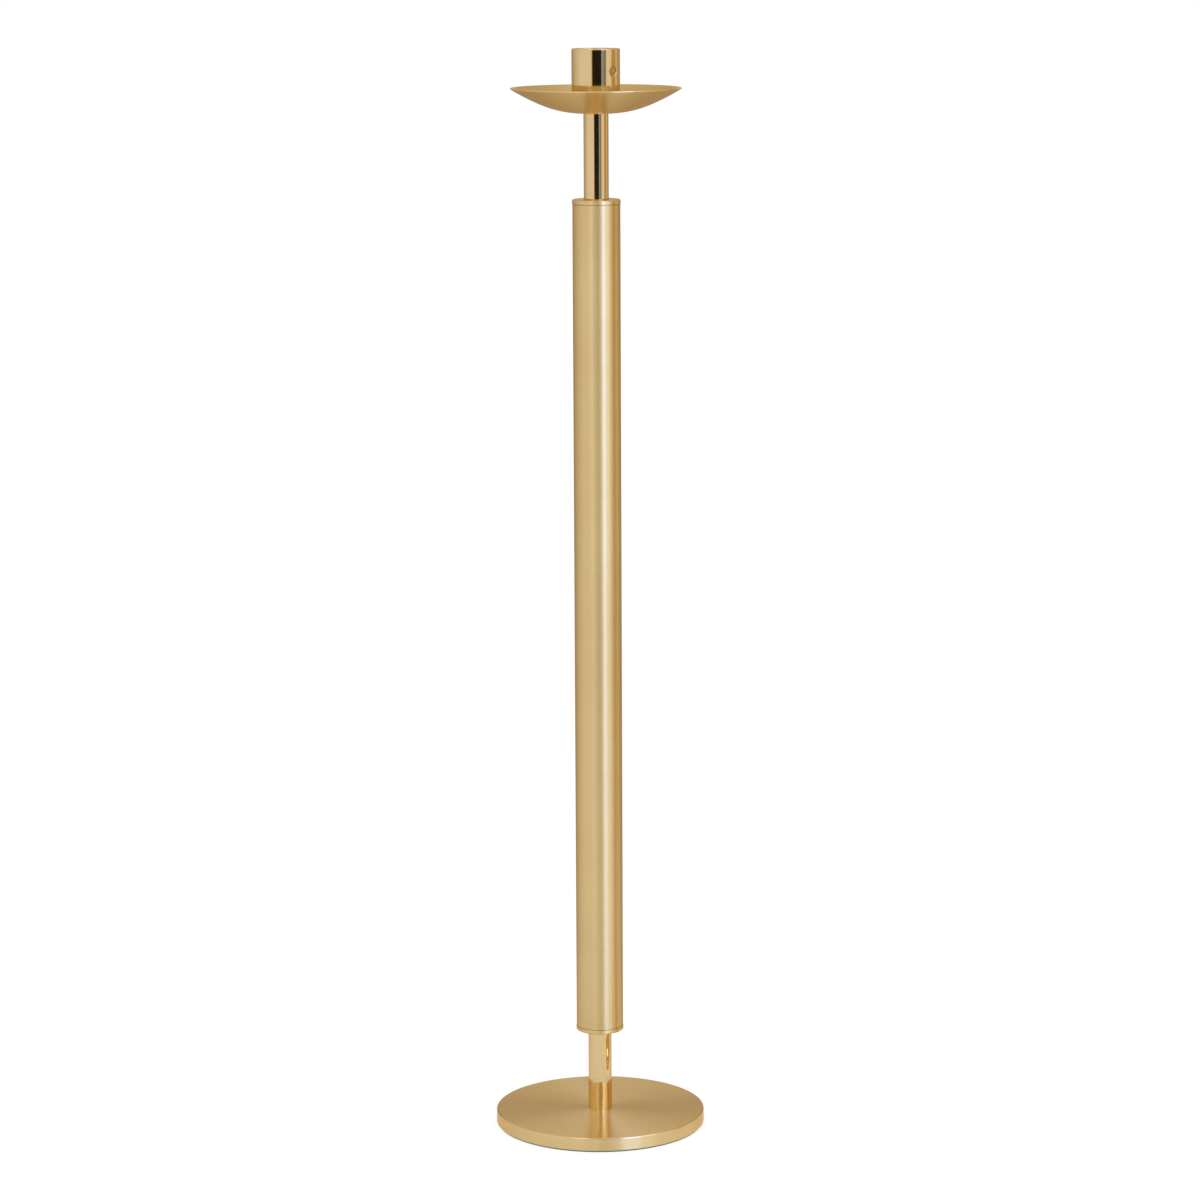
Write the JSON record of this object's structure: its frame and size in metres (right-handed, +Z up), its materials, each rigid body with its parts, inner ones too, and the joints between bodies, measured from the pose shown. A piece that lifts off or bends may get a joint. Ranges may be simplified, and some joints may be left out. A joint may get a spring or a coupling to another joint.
{
  "type": "paschal candlestick",
  "caption": "Tall standing brass paschal candlestick: round felted base, brushed column between polished stems, spun drip pan and a tubular candle socket with a side hole, on one tie rod.",
  "frame": {"origin": "middle of the felt's underside, on the floor", "axes": "+Z up along the column; +X towards the socket's side hole; +Y completes a right-handed frame"},
  "size_m": [0.215, 0.215, 1.105],
  "materials": {
    "felt": "thick green wool felt, cut edge",
    "base_brass": "satin gilt brass, turned circular brush marks",
    "column_brass": "satin gilt brass, brushed round the tube",
    "cap_brass": "satin gilt brass, turned",
    "pan_brass": "satin gilt brass, spun, with fine circular marks",
    "polished_brass": "mirror polished gilt brass",
    "zinc_steel": "bright zinc plated steel"
  },
  "bodies": {
    "root": {"felt_pad": "felt", "base_plate": "base_brass", "base_washer": "zinc_steel", "base_nut": "zinc_steel", "tie_rod": "zinc_steel", "lower_stem": "polished_brass", "lower_stem_bush": "zinc_steel", "column_foot_cap": "cap_brass", "column_tube": "column_brass", "column_head_cap": "cap_brass", "upper_stem": "polished_brass", "upper_stem_bush": "zinc_steel", "drip_pan": "pan_brass", "socket_plug": "cap_brass", "socket_tube": "polished_brass", "socket_lock_washer": "zinc_steel", "socket_nut": "zinc_steel"}
  },
  "joints": []
}
